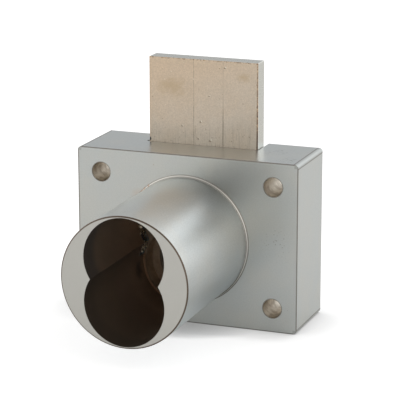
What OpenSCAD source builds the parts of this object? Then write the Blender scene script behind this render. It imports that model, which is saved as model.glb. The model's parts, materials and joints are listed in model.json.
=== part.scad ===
// Drawer deadbolt lock with a figure-eight core socket.
// X runs across the case, Y from the barrel's mouth to the back cover, Z up along the bolt.
// The origin is the barrel's axis at the mounting face.

/* [Case] */
// Width of the case
case_w = 52.1; // [52:0.1:58]
// Height of the case
case_h = 38.5; // [38.3:0.1:44]
// Depth of the case from the mounting face to the rear edge of its rim
case_d = 17.5; // [17.4:0.1:20]
// Thickness of the wall in front of the throw
front_wall = 6.4; // [6.2:0.05:6.45]
// Depth in that wall of the bore that holds the barrel's retaining ring
ring_seat = 3.2; // [3.1:0.1:4]
// Thickness of the top and bottom walls
end_wall = 1.8; // [1.5:0.1:2]
// Thickness of the rim at the sides of the back cover
rim_t = 2.4; // [1.2:0.1:3]
// Room round the crank and the stop lug as they swing
swing_gap = 0.4; // [0.2:0.05:0.5]
// Radius of the four corners seen from the front
corner_r = 1; // [0.4:0.1:2]
// Radius of the edges round the front and rear faces
edge_r = 0.25; // [0.1:0.05:0.5]
// Radius of the corners of the back cover's recess
recess_r = 0.8; // [0.4:0.1:1.2]

/* [Mounting holes] */
// Distance of the hole centres from the case's left and right sides
hole_edge_x = 5.71; // [5:0.01:6]
// Distance of the hole centres from its top and bottom
hole_edge_z = 5.46; // [4.6:0.01:5.6]
// Hole diameter
hole_d = 4.36; // [3.2:0.1:5]

/* [Barrel] */
// Diameter of the barrel, one and an eighth inches
barrel_d = 28.58; // [28.5:0.02:29.2]
// Length of the barrel in front of the mounting face
barrel_len = 35.3; // [34:0.1:44]
// Height and width of the chamfered collar at the barrel's foot
collar = 0.52; // [0.3:0.02:1]
// Depth that the collar sits in the case
collar_seat = 0.2; // [0.1:0.05:0.3]
// Chamfer round the barrel's front edge
rim_chamfer = 0.2; // [0.1:0.05:0.3]
// Length of the barrel behind the mounting face
spigot_len = 6.6; // [6.6:0.05:6.7]
// Diameter of the dowel that keeps the barrel from turning
dowel_d = 2; // [1.6:0.1:2.4]
// Distance of the dowel's front end behind the mounting face
dowel_front = 0.6; // [0.4:0.1:1]

/* [Core socket] */
// Diameter of each of the socket's two lobes
lobe_d = 18.06; // [17:0.02:18.1]
// Distance of each lobe's axis from the barrel's axis
lobe_offset = 4.86; // [4.5:0.02:4.9]
// Depth of the two lobes
socket_depth = 32.3; // [26:0.1:32.6]
// Diameter of the round bore behind the lower lobe
throw_bore_d = 17.2; // [16.6:0.1:17.6]
// Depth at which that bore ends in a shoulder
shoulder_depth = 36.5; // [36.2:0.1:36.6]
// Diameter of the hole in the shoulder
shoulder_hole_d = 13.6; // [12.6:0.1:13.8]
// Thickness of the shoulder
shoulder_t = 2; // [1.6:0.1:2]
// Depth at which the recess for the core's lug starts
lug_front = 29.6; // [22:0.1:30]
// Width of the lug recess along the barrel
lug_w = 3; // [1:0.1:3.2]
// Distance of the lug recess's floor from the barrel's axis
lug_floor = 11.2; // [10:0.1:11.6]
// Top of the lug recess
lug_top = 6; // [3:0.1:6.5]
// Bottom of the lug recess, below the barrel's axis
lug_bottom = 3.3; // [2:0.1:4.4]

/* [Bolt] */
// Width of the bolt
bolt_w = 25.88; // [24:0.02:26]
// Thickness of the bolt
bolt_t = 4.17; // [3.8:0.01:4.2]
// How far the bolt stands out of the case when it is thrown
bolt_out = 19.54; // [19.4:0.02:22]
// Travel of the bolt
throw = 19.05; // [16:0.05:19.1]
// Distance of the bolt's front face behind the mounting face
bolt_front = 10.1; // [10.1:0.02:10.14]
// How much wider than the bolt its slot in the case is
slot_gap = 0.82; // [0.8:0.02:1.2]
// How far the bolt leans to the right in that slot
bolt_lean = 0.26; // [0:0.02:0.3]
// Thickness of the bolt's lower jaw, under the crank pin
jaw_t = 2; // [1.5:0.1:2.1]
// Radius of the bolt's edges
bolt_edge_r = 0.15; // [0.05:0.05:0.4]
// Radius of the corners of the notch for the crank pin
notch_r = 0.8; // [0.4:0.1:1.2]

/* [Throw] */
// Turn of the throw from the thrown bolt to the withdrawn one, in degrees
turn = 90; // [84:1:90]
// Angle of the crank above the horizontal when the bolt is thrown
crank_angle = 52; // [50:0.5:52]
// Diameter of the sleeve on the crank pin
sleeve_d = 3.5; // [2.8:0.1:3.6]
// Diameter of the crank pin inside it
pin_d = 2.2; // [1.6:0.1:2.2]
// Thickness of the crank arm
arm_t = 2.3; // [1.8:0.1:2.3]
// Metal round the crank pin at the arm's tip
arm_rim = 1.5; // [1:0.1:1.5]
// Distance from the crank pin's end to the bolt's back face
pin_short = 0.35; // [0.3:0.05:0.6]
// Diameter of the throw's hub between its flange and the arm
hub_d = 11.2; // [10.4:0.1:11.4]
// Diameter of the stub that drives the arm
stub_d = 9.2; // [8.4:0.1:9.6]
// Distance between the stub's two flats
stub_w = 6.8; // [6:0.1:7.4]
// Metal round the stub at the arm's root
arm_root = 3; // [2:0.1:3.2]
// Width of the arm's stop lug
stop_lug_w = 3.6; // [3:0.1:4]
// Diameter of the screw that holds the arm
arm_screw_d = 3; // [2.5:0.1:3]
// How far its head reaches over the arm, round the stub
arm_screw_over = 0.8; // [0.5:0.1:1.2]
// Height of its head
arm_screw_h = 0.5; // [0.4:0.05:0.5]
// Width of its slot
arm_slot_w = 1; // [0.6:0.1:1.2]
// Depth of its slot
arm_slot_deep = 0.3; // [0.2:0.05:0.35]
// Thickness of the lock washer under its head
arm_washer_t = 0.25; // [0.2:0.05:0.25]
// Diameter of the throw's flange
flange_d = 15.8; // [15.2:0.1:15.9]
// Thickness of the throw's flange
flange_t = 1.6; // [1.2:0.05:1.6]
// Distance of each prong from the throw's axis
prong_offset = 3.6; // [3:0.1:3.8]
// Diameter of the prongs
prong_d = 2.4; // [2:0.1:2.6]
// Reach of the prongs into the core socket
prong_reach = 5.3; // [3:0.1:8]
// Chamfer at the prongs' tips
prong_chamfer = 0.4; // [0.2:0.1:0.6]
// Diameter of the stop pin
stop_d = 2.4; // [2:0.1:2.4]
// Distance of the stop pin from the throw's axis
stop_offset = 10.4; // [10.3:0.1:10.8]

/* [Cover] */
// Thickness of the back cover
cover_t = 1.6; // [1:0.05:1.6]
// How much wider the cover's four mounting holes are than the case's
cover_hole_extra = 1.2; // [0.8:0.1:1.6]
// Diameter of the four cover screws
screw_d = 2.5; // [2:0.1:2.6]
// Height of their heads
screw_head_h = 0.7; // [0.5:0.05:0.75]
// Diameter of their heads
screw_head_d = 4.5; // [3.8:0.1:4.8]
// Length of the cover screws under their heads
screw_len = 7; // [5:0.1:8]
// How much deeper their holes go
screw_hole_extra = 0.5; // [0.3:0.1:0.8]
// Width of their cross recesses
cross_w = 0.6; // [0.4:0.05:0.8]
// Length of their cross recesses
cross_len = 3; // [2:0.1:3.2]
// Depth of their cross recesses
cross_deep = 0.4; // [0.2:0.05:0.45]
// Room behind the bolt for the friction spring
spring_room = 0.83; // [0.8:0.01:0.9]
// Distance of the cover screws from the left and right sides of the cover's recess
screw_edge = 3.25; // [2.7:0.05:3.6]
// Distance of the cover screws above and below the barrel's axis
screw_z = 6; // [4:0.1:7]
// Thickness of the friction spring
spring_t = 0.3; // [0.2:0.02:0.4]
// Width of the friction spring
spring_w = 6; // [4:0.1:7]
// Height of the friction spring above the barrel's axis
spring_z = 12.6; // [8:0.1:13]
// Distance of the friction spring's ends from the sides of the bolt's slot
spring_inset = 0.65; // [0.4:0.05:2]
// Length of the spring's two flat tabs
spring_tab = 4.4; // [3.4:0.1:5]
// Diameter of its rivets
rivet_d = 1.6; // [1.2:0.1:2]
// Diameter of the rivets' heads
rivet_head_d = 3; // [2.4:0.1:3.4]
// Height of the rivets' heads
rivet_head_h = 0.4; // [0.3:0.02:0.4]

/* [Rings] */
// Thickness of the retaining ring on the barrel
ring_t = 1; // [0.8:0.05:1]
// Depth of that ring's groove
ring_groove = 0.67; // [0.4:0.01:0.7]
// How far that ring stands out of the barrel
ring_out = 1.1; // [0.8:0.05:1.2]
// Thickness of the washer under it
washer_t = 0.5; // [0.3:0.05:0.5]
// How far the washer reaches past the ring
washer_out = 0.2; // [0:0.05:0.3]
// Thickness of the ring that holds the throw
throw_ring_t = 0.8; // [0.6:0.05:0.8]
// Depth of that ring's groove
throw_ring_groove = 0.7; // [0.4:0.05:0.7]
// How far that ring reaches over the flange
throw_ring_in = 0.9; // [0.6:0.05:1]
// Width of the gap in each of the two rings
ring_gap = 4; // [2:0.1:5]
// Diameter of the two plier holes in each ring
plier_hole_d = 0.8; // [0.5:0.05:0.9]
// Distance of those holes from the gap
plier_hole_inset = 1; // [0.8:0.1:1.5]
// Thickness of the thrust washer
thrust_t = 0.3; // [0.2:0.02:0.3]

/* [Clearances] */
// Round a piece that turns or slides
run = 0.1; // [0.06:0.01:0.1]
// Round a piece that sits still in its seat
seat = 0.02; // [0.01:0.01:0.05]
// Between moving pieces that only pass each other
pass = 0.2; // [0.16:0.01:0.2]
// Round the back cover inside the rim
cover_gap = 0.15; // [0.05:0.01:0.25]

/* [Hidden] */
$fn = 96;
// Cuts run this far past a face that they open
past = 1;
// Case
in_x = case_w / 2 - rim_t;
in_z = case_h / 2 - end_wall;
slot_w = bolt_w + slot_gap;
// Barrel and socket, along Y
barrel_r = barrel_d / 2;
mouth_y = -barrel_len;
socket_y = mouth_y + socket_depth;
shoulder_y = mouth_y + shoulder_depth;
counterbore_y = shoulder_y + shoulder_t;
// Throw, along Y
throw_z = -lobe_offset;
flange_r = flange_d / 2;
counterbore_r = flange_r + run;
flange_y = counterbore_y + thrust_t + run / 2;
flange_back = flange_y + flange_t;
arm_y = spigot_len + pass;
arm_back = arm_y + arm_t;
stub_r = stub_d / 2;
arm_screw_head_y = arm_back + arm_washer_t;
// Crank, whose sleeve lifts the bolt by its travel in one turn of the throw
crank_r = throw / (sin(crank_angle) + sin(turn - crank_angle));
sleeve_r = sleeve_d / 2;
tip_r = sleeve_r + arm_rim;
pin_x = crank_r * cos(crank_angle);
pin_z = throw_z + crank_r * sin(crank_angle);
pin_back = bolt_front + bolt_t - pin_short;
// Stops: the stop pin meets the arm's flank at one end of the turn and the lug at the other
stop_r = stop_d / 2;
stop_angle = crank_angle + asin((tip_r + stop_r + run / 2) / stop_offset);
lug_r = stop_offset + stop_r;
lug_angle = stop_angle + turn - crank_angle
    + asin((stop_lug_w / 2 + stop_r + run / 2) / stop_offset);
// Bolt
bolt_back = bolt_front + bolt_t;
bolt_top = case_h / 2 + bolt_out;
bolt_left = bolt_lean - bolt_w / 2;
bolt_right = bolt_lean + bolt_w / 2;
// The bolt rises evenly with the turn, and the pin on its circle leaves that line by these two
lift_rate = throw / (turn * PI / 180);
swing = acos(lift_rate / crank_r);
pin_high = pin_off(swing);
pin_low = pin_off(-swing);
notch_top = pin_z + pin_high + sleeve_r + run;
notch_bottom = pin_z + pin_low - sleeve_r - run;
notch_left = min(pin_x, crank_r * cos(turn - crank_angle)) - sleeve_r - pass;
bolt_bottom = notch_bottom - jaw_t;
slot_front = bolt_front - run;
// Cover and spring
cover_y = bolt_back + spring_room;
cover_back = cover_y + cover_t;
rivet_r = rivet_d / 2;
spring_span = slot_w - 2 * spring_inset - spring_tab;
// Rings and dowel
seat_y = front_wall - ring_seat;
ring_y = seat_y + washer_t + run / 2;
ring_r = barrel_r + ring_out;
washer_r = ring_r + washer_out;
dowel_r = dowel_d / 2;
throw_ring_y = flange_back + run / 2;
// Colours
satin_chrome = [0.70, 0.71, 0.70];
nickel = [0.73, 0.68, 0.60];
zinc_steel = [0.62, 0.63, 0.64];
spring_steel = [0.30, 0.31, 0.34];
brass = [0.72, 0.60, 0.34];

// How far the pin stands above its place in the bolt when the crank is at this angle
function pin_off(angle) =
    crank_r * (sin(angle) - sin(crank_angle)) + lift_rate * (crank_angle - angle) * PI / 180;

// A flat outline stretched along Y
module along_y(y0, y1) translate([0, y1, 0]) rotate([90, 0, 0]) linear_extrude(y1 - y0) children();

module rod(r, y0, y1, x = 0, z = 0)
    translate([x, y1, z]) rotate([90, 0, 0]) cylinder(r = r, h = y1 - y0);

// A rod whose radius goes from r0 at y0 to r1 at y1
module cone(r0, r1, y0, y1, x = 0, z = 0)
    translate([x, y1, z]) rotate([90, 0, 0]) cylinder(r1 = r1, r2 = r0, h = y1 - y0);

module round_rect(x0, y0, x1, y1, r) {
    translate([x0 + r, y0]) square([x1 - x0 - 2 * r, y1 - y0]);
    translate([x0, y0 + r]) square([x1 - x0, y1 - y0 - 2 * r]);
    for (x = [x0 + r, x1 - r], y = [y0 + r, y1 - r]) translate([x, y]) circle(r);
}

// A block with rounded edges all round
module soft_block(x0, y0, z0, x1, y1, z1, r, r_side) intersection() {
    along_y(y0, y1) round_rect(x0, z0, x1, z1, r_side);
    translate([x0, 0, 0]) rotate([90, 0, 90]) linear_extrude(x1 - x0) round_rect(y0, z0, y1, z1, r);
    translate([0, 0, z0]) linear_extrude(z1 - z0) round_rect(x0, y0, x1, y1, r);
}

module at_corners(x, z) for (sx = [-1, 1], sz = [-1, 1]) translate([sx * x, 0, sz * z]) children();
module at_mounting_holes() at_corners(case_w / 2 - hole_edge_x, case_h / 2 - hole_edge_z) children();
module at_cover_screws() at_corners(in_x - screw_edge, screw_z) children();
module at_rivets() for (x = [-spring_span / 2, spring_span / 2]) translate([x, 0, spring_z]) children();

// A flat ring with a gap, its middle at the given angle
module split_ring(r_in, r_out, angle) difference() {
    circle(r_out);
    circle(r_in);
    rotate(angle) translate([0, -ring_gap / 2]) square([r_out + past, ring_gap]);
    for (side = [-1, 1]) rotate(angle)
        translate([(r_in + r_out) / 2, side * (ring_gap / 2 + plier_hole_inset)]) circle(plier_hole_d / 2);
}

// The room that the stop lug needs all round, and the crank on its own side
module swing_outline(crank_reach) translate([0, throw_z]) {
    circle(lug_r + swing_gap);
    intersection() {
        circle(crank_reach + swing_gap);
        translate([0, -in_z - throw_z]) square([2 * crank_reach, in_z + pin_z + tip_r + swing_gap]);
    }
}

module case() color(satin_chrome) difference() {
    soft_block(-case_w / 2, 0, -case_h / 2, case_w / 2, case_d, case_h / 2, edge_r, corner_r);
    // Recess of the back cover
    along_y(cover_y, case_d + past) round_rect(-in_x, -in_z, in_x, in_z, recess_r);
    // Channel of the bolt, open at the top
    translate([-slot_w / 2, slot_front, -in_z]) cube([slot_w, cover_y + past - slot_front, case_h]);
    translate([-slot_w / 2, slot_front, in_z - past]) cube([slot_w, case_d, end_wall + 2 * past]);
    // Chamber of the throw, and room for the crank pin beside the bolt
    along_y(front_wall, arm_back + swing_gap) swing_outline(crank_r + tip_r);
    along_y(front_wall, pin_back + swing_gap) swing_outline(crank_r + sleeve_r);
    // Bore of the barrel, with the collar's seat in front and the ring's seat behind
    rod(washer_r + swing_gap, seat_y, cover_y + past);
    rod(barrel_r + seat, -past, seat_y + past);
    rod(barrel_r + collar + seat, -past, collar_seat);
    rod(dowel_r + seat, dowel_front - seat, seat_y + past, 0, barrel_r);
    at_mounting_holes() rod(hole_d / 2, -past, cover_y + past);
    at_cover_screws() rod(screw_d / 2 + seat, cover_back - screw_len - screw_hole_extra, cover_y + past);
}

module back_cover() color(zinc_steel) difference() {
    along_y(cover_y, cover_back) round_rect(-in_x + cover_gap, -in_z + cover_gap,
        in_x - cover_gap, in_z - cover_gap, recess_r);
    at_mounting_holes() rod((hole_d + cover_hole_extra) / 2, cover_y - past, cover_back + past);
    at_cover_screws() rod(screw_d / 2 + cover_gap, cover_y - past, cover_back + past);
    at_rivets() rod(rivet_r + seat, cover_y - past, cover_back + past);
}

module cover_screws() color(zinc_steel) at_cover_screws() difference() {
    union() {
        rod(screw_d / 2, cover_back - screw_len, cover_back);
        rod(screw_head_d / 2, cover_back, cover_back + screw_head_h);
    }
    for (turned = [0, 90]) translate([0, cover_back + screw_head_h, 0]) rotate([0, turned, 0])
        cube([cross_w, 2 * cross_deep, cross_len], center = true);
}

// The barrel, with the socket for the core in front and the seat of the throw behind
module core_housing() color(satin_chrome) difference() {
    union() {
        rod(barrel_r, mouth_y + rim_chamfer, spigot_len);
        cone(barrel_r - rim_chamfer, barrel_r, mouth_y, mouth_y + rim_chamfer);
        cone(barrel_r, barrel_r + collar, -collar, 0);
        rod(barrel_r + collar, 0, collar_seat);
    }
    for (z = [-lobe_offset, lobe_offset]) rod(lobe_d / 2, mouth_y - past, socket_y, 0, z);
    rod(throw_bore_d / 2, socket_y - past, shoulder_y, 0, throw_z);
    rod(shoulder_hole_d / 2, shoulder_y - past, counterbore_y + past, 0, throw_z);
    rod(counterbore_r, counterbore_y, spigot_len + past, 0, throw_z);
    rod(counterbore_r + throw_ring_groove, throw_ring_y - run / 2, throw_ring_y + throw_ring_t + run / 2,
        0, throw_z);
    along_y(ring_y - run / 2, ring_y + ring_t + run / 2) difference() {
        circle(barrel_r + past);
        circle(barrel_r - ring_groove);
    }
    translate([-lug_floor, mouth_y + lug_front, -lug_bottom])
        cube([lug_floor - lobe_d / 4, lug_w, lug_top + lug_bottom]);
    rod(dowel_r + seat, dowel_front - seat, seat_y, 0, barrel_r);
    at_stop() rod(stop_r + seat, counterbore_y, spigot_len + past);
}

module housing_washer() color(zinc_steel) along_y(seat_y, seat_y + washer_t) difference() {
    circle(washer_r);
    circle(barrel_r + seat);
}

module housing_ring() color(spring_steel) along_y(ring_y, ring_y + ring_t)
    split_ring(barrel_r - ring_groove + seat, ring_r, -90);

module housing_dowel() color(zinc_steel) rod(dowel_r, dowel_front, seat_y, 0, barrel_r);

module at_stop()
    translate([stop_offset * cos(stop_angle), 0, throw_z + stop_offset * sin(stop_angle)]) children();

module stop_pin() color(zinc_steel) at_stop() rod(stop_r, counterbore_y + seat, arm_back - pass);

module thrust_washer() color(brass) along_y(counterbore_y, counterbore_y + thrust_t)
    translate([0, throw_z]) difference() {
        circle(flange_r - run);
        circle(shoulder_hole_d / 2);
    }

module throw_ring() color(spring_steel) along_y(throw_ring_y, throw_ring_y + throw_ring_t)
    translate([0, throw_z])
        split_ring(flange_r - throw_ring_in, counterbore_r + throw_ring_groove - seat, 180);

// The stub that drives the arm is round with two flats
module stub_outline(gap) intersection() {
    circle(stub_r + gap);
    square([stub_d + past, stub_w + 2 * gap], center = true);
}

module throw_member() color(zinc_steel) difference() {
    union() {
        rod(flange_r, flange_y, flange_back, 0, throw_z);
        rod(hub_d / 2, flange_back, arm_y, 0, throw_z);
        along_y(arm_y, arm_back) translate([0, throw_z]) rotate(crank_angle) stub_outline(0);
    }
    at_prongs() rod(prong_d / 2 + seat, flange_y - past, flange_back);
    rod(arm_screw_d / 2 + seat, flange_back, arm_back + past, 0, throw_z);
}

module at_prongs() for (side = [-1, 1]) translate([0, 0, throw_z + side * prong_offset]) children();

module throw_prongs() color(zinc_steel) at_prongs() {
    tip_y = socket_y - prong_reach;
    rod(prong_d / 2, tip_y + prong_chamfer, flange_back - seat);
    cone(prong_d / 2 - prong_chamfer, prong_d / 2, tip_y, tip_y + prong_chamfer);
}

module throw_arm() color(zinc_steel) along_y(arm_y, arm_back) translate([0, throw_z]) difference() {
    union() {
        circle(stub_r + arm_root);
        rotate(crank_angle) {
            translate([0, -tip_r]) square([crank_r, 2 * tip_r]);
            translate([crank_r, 0]) circle(tip_r);
        }
        rotate(crank_angle + lug_angle) translate([0, -stop_lug_w / 2]) square([lug_r, stop_lug_w]);
    }
    rotate(crank_angle) stub_outline(seat);
    rotate(crank_angle) translate([crank_r, 0]) circle(pin_d / 2 + seat);
}

module arm_washer() color(spring_steel) along_y(arm_back, arm_screw_head_y) translate([0, throw_z])
    difference() {
        circle(stub_r + arm_screw_over);
        circle(arm_screw_d / 2 + seat);
    }

module arm_screw() color(zinc_steel) translate([0, 0, throw_z]) difference() {
    union() {
        rod(stub_r + arm_screw_over, arm_screw_head_y, arm_screw_head_y + arm_screw_h);
        rod(arm_screw_d / 2, flange_back + pass, arm_screw_head_y);
    }
    translate([-stub_d, arm_screw_head_y + arm_screw_h - arm_slot_deep, -arm_slot_w / 2])
        cube([2 * stub_d, past, arm_slot_w]);
}

module crank_pin() color(zinc_steel) rod(pin_d / 2, arm_y, pin_back, pin_x, pin_z);

// A hard sleeve on the pin, which works in the bolt's notch
module crank_sleeve() color(zinc_steel) along_y(arm_back, pin_back) translate([pin_x, pin_z]) difference() {
    circle(sleeve_r);
    circle(pin_d / 2 + seat);
}

module bolt() color(nickel) difference() {
    soft_block(bolt_left, bolt_front, bolt_bottom, bolt_right, bolt_back, bolt_top,
        bolt_edge_r, bolt_edge_r);
    along_y(bolt_front - past, bolt_back + past)
        round_rect(notch_left, notch_bottom, bolt_right + notch_r + past, notch_top, notch_r);
}

// A bowed strip that rubs on the bolt's back
module friction_spring() color(spring_steel) {
    half = (spring_span - spring_tab) / 2;
    rise = cover_y - bolt_back - run / 2 - spring_t;
    bow_r = (half * half + rise * rise) / (2 * rise);
    translate([0, 0, spring_z - spring_w / 2]) linear_extrude(spring_w) difference() {
        intersection() {
            translate([0, cover_y - spring_t - rise + bow_r]) circle(bow_r, $fn = 360);
            translate([-half, cover_y - spring_t - rise - past]) square([2 * half, rise + spring_t + past]);
        }
        translate([0, cover_y - rise + bow_r]) circle(bow_r, $fn = 360);
    }
    for (x = [-half - spring_tab, half]) difference() {
        translate([x, cover_y - spring_t, spring_z - spring_w / 2]) cube([spring_tab, spring_t, spring_w]);
        at_rivets() rod(rivet_r + seat, cover_y - past, cover_y + past);
    }
}

module spring_rivets() color(zinc_steel) at_rivets() {
    rod(rivet_r, cover_y - spring_t, cover_back);
    for (y = [cover_back, cover_y - spring_t - rivet_head_h]) rod(rivet_head_d / 2, y, y + rivet_head_h);
}

case();
back_cover();
cover_screws();
core_housing();
housing_washer();
housing_ring();
housing_dowel();
stop_pin();
thrust_washer();
throw_ring();
throw_member();
throw_prongs();
throw_arm();
arm_washer();
arm_screw();
crank_pin();
crank_sleeve();
bolt();
friction_spring();
spring_rivets();
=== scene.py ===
"""Dresses the drawer lock: satin chrome case and barrel, worn nickel bolt, plated steel works.

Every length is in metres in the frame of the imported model: X to the right, Y from the barrel's
mouth to the back cover, Z up along the bolt, with the origin on the barrel's axis at the
mounting face.
"""

from __future__ import annotations

import json
import logging
import math
import random
from dataclasses import dataclass
from enum import Enum
from functools import reduce
from typing import Callable, Sequence

import bmesh
import bpy
from mathutils import Matrix, Vector, noise

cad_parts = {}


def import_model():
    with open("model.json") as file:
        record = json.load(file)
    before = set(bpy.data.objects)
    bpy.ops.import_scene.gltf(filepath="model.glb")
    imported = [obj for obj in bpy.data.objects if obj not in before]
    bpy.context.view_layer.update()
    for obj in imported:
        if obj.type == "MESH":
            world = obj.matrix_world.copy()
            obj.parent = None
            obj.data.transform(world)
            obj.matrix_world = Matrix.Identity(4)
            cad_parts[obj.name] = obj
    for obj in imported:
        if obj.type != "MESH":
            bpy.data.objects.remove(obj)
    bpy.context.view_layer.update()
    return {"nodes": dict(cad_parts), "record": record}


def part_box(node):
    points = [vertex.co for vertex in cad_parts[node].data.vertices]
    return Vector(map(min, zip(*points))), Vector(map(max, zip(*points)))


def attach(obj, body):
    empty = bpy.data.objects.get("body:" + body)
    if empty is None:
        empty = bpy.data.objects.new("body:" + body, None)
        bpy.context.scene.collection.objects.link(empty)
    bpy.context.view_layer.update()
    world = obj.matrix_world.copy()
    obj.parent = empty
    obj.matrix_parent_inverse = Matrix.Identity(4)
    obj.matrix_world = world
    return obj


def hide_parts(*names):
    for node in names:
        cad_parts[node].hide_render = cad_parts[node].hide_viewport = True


log = logging.getLogger("drawer_lock")

MM = 0.001

Colour = tuple[float, float, float]
Socket = bpy.types.NodeSocket
WHITE = (1.0, 1.0, 1.0)


class Body(Enum):
    """The bodies that move apart from each other."""

    LOCK = "lock_body"
    BOLT = "deadbolt"
    THROW = "throw"


class Slot(Enum):
    """The record's finishes."""

    CASE = "case_plating"
    BARREL = "barrel_plating"
    BOLT = "bolt_nickel"
    STEEL = "zinc_steel"
    SPRING = "spring_steel"
    BRASS = "washer_brass"


class Edge(Enum):
    """How a patch of a surface ends."""

    SOFT = "Soft"
    SHARP = "Mask"


class Wiring:
    """Adds shader nodes to one tree and joins their sockets."""

    def __init__(self, tree: bpy.types.NodeTree) -> None:
        """Keeps the node tree to build in."""
        self.tree = tree

    @classmethod
    def inside(cls, owner: bpy.types.Material | bpy.types.World) -> Wiring:
        """Clears a material or world of the nodes that it came with.

        Args:
            owner: the material or world.

        Returns:
            Its wiring.
        """
        owner.use_nodes = True
        owner.node_tree.nodes.clear()
        return cls(owner.node_tree)

    def add(self, kind: str, *values: object, **settings: object) -> bpy.types.Node:
        """Adds a node.

        Args:
            kind: the node's type name without the ShaderNode prefix.
            values: what its first inputs are fed, in order.
            settings: properties of the node.

        Returns:
            The new node.
        """
        node = self.tree.nodes.new("ShaderNode" + kind)
        for name, value in settings.items():
            setattr(node, name, value)
        for socket, value in zip(node.inputs, values):
            self.feed(socket, value)
        return node

    def feed(self, socket: Socket, value: object) -> None:
        """Joins a socket to another, or sets its constant.

        Args:
            socket: the input.
            value: an output socket, a number, or a vector or colour.
        """
        if isinstance(value, bpy.types.NodeSocket):
            self.tree.links.new(value, socket)
        elif isinstance(value, (int, float)):
            socket.default_value = value
        else:
            size = len(socket.default_value)
            socket.default_value = tuple(value) + (1.0,) * (size - len(tuple(value)))

    def maths(self, operation: str, *values: object, clamp: bool = False) -> Socket:
        """Adds a Math node, held between 0 and 1 where asked, and returns its output."""
        return self.add("Math", *values, operation=operation, use_clamp=clamp).outputs[0]

    def vector_maths(self, operation: str, *values: object) -> Socket:
        """Adds a Vector Math node and returns its vector output."""
        return self.add("VectorMath", *values, operation=operation).outputs[0]

    def split(self, vector: Socket) -> tuple[Socket, ...]:
        """Returns the three components of a vector."""
        return tuple(self.add("SeparateXYZ", vector).outputs)

    def times(self, *values: object) -> Socket:
        """Returns the product of values; that of masks is 1 where all of them are."""
        return reduce(lambda total, value: self.maths("MULTIPLY", total, value), values)

    def less(self, mask: object) -> Socket:
        """Returns the opposite of a mask."""
        return self.maths("SUBTRACT", 1.0, mask)

    def apart(self, value: Socket, line: float) -> Socket:
        """Returns how far a value is from a line, on either side."""
        return self.maths("ABSOLUTE", self.maths("SUBTRACT", value, line))

    def from_axis(self, vector: Socket) -> Socket:
        """Returns how far a point is from the Y axis."""
        x, _, z = self.split(vector)
        return self.maths("SQRT", self.maths("ADD", self.times(x, x), self.times(z, z)))

    def step(self, value: Socket, low: float, high: float, to_low: float = 0.0,
             to_high: float = 1.0) -> Socket:
        """Maps a value smoothly from one range to another and holds it there.

        Args:
            value: the value.
            low: where the change starts.
            high: where it ends.
            to_low: the result at low.
            to_high: the result at high.

        Returns:
            The mapped value.
        """
        node = self.add("MapRange", value, low, high, to_low, to_high,
                        interpolation_type="SMOOTHSTEP")
        return node.outputs[0]

    def past(self, value: Socket, line: float, low: float, high: float) -> Socket:
        """Steps a value from 0 to 1 between two places, in millimetres past a line."""
        return self.step(value, line + low * MM, line + high * MM)

    def blend(self, mask: object, first: object, second: object, mode: str = "MIX") -> Socket:
        """Mixes two colours.

        Args:
            mask: 0 for the first colour and 1 for the second.
            first: the first colour.
            second: the second colour.
            mode: the blending mode.

        Returns:
            The mixed colour.
        """
        node = self.add("Mix", data_type="RGBA", blend_type=mode)
        self.feed(node.inputs[0], mask)
        self.feed(node.inputs[6], first)
        self.feed(node.inputs[7], second)
        return node.outputs[2]

    def shaded(self, colour: object, value: Socket, mask: object = 1.0) -> Socket:
        """Returns a colour made brighter or darker by a factor where the mask is 1."""
        grey = self.add("CombineColor", value, value, value).outputs[0]
        return self.blend(mask, colour, grey, "MULTIPLY")

    def noise(self, vector: Socket, scale: object, detail: float = 3.0,
              roughness: float = 0.7) -> Socket:
        """Adds a noise texture.

        Args:
            vector: where it is read.
            scale: how many of its grains go to a unit of length.
            detail: its finer layers.
            roughness: how strong they are.

        Returns:
            Its value.
        """
        node = self.add("TexNoise", vector)
        for name, value in (("Scale", scale), ("Detail", detail), ("Roughness", roughness)):
            self.feed(node.inputs[name], value)
        return node.outputs["Fac"]

    def turned(self, vector: Socket, angle: float) -> Socket:
        """Returns the vector turned about Y by an angle in radians."""
        return self.add("Mapping", vector, (0.0, 0.0, 0.0), (0.0, angle, 0.0)).outputs[0]


Given = dict[str, Socket]
Results = tuple[Socket, ...]
GroupBody = Callable[[Wiring, Given], Results]
VECTOR_INPUTS = ("Vector", "Centre", "Half", "Reach")


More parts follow.
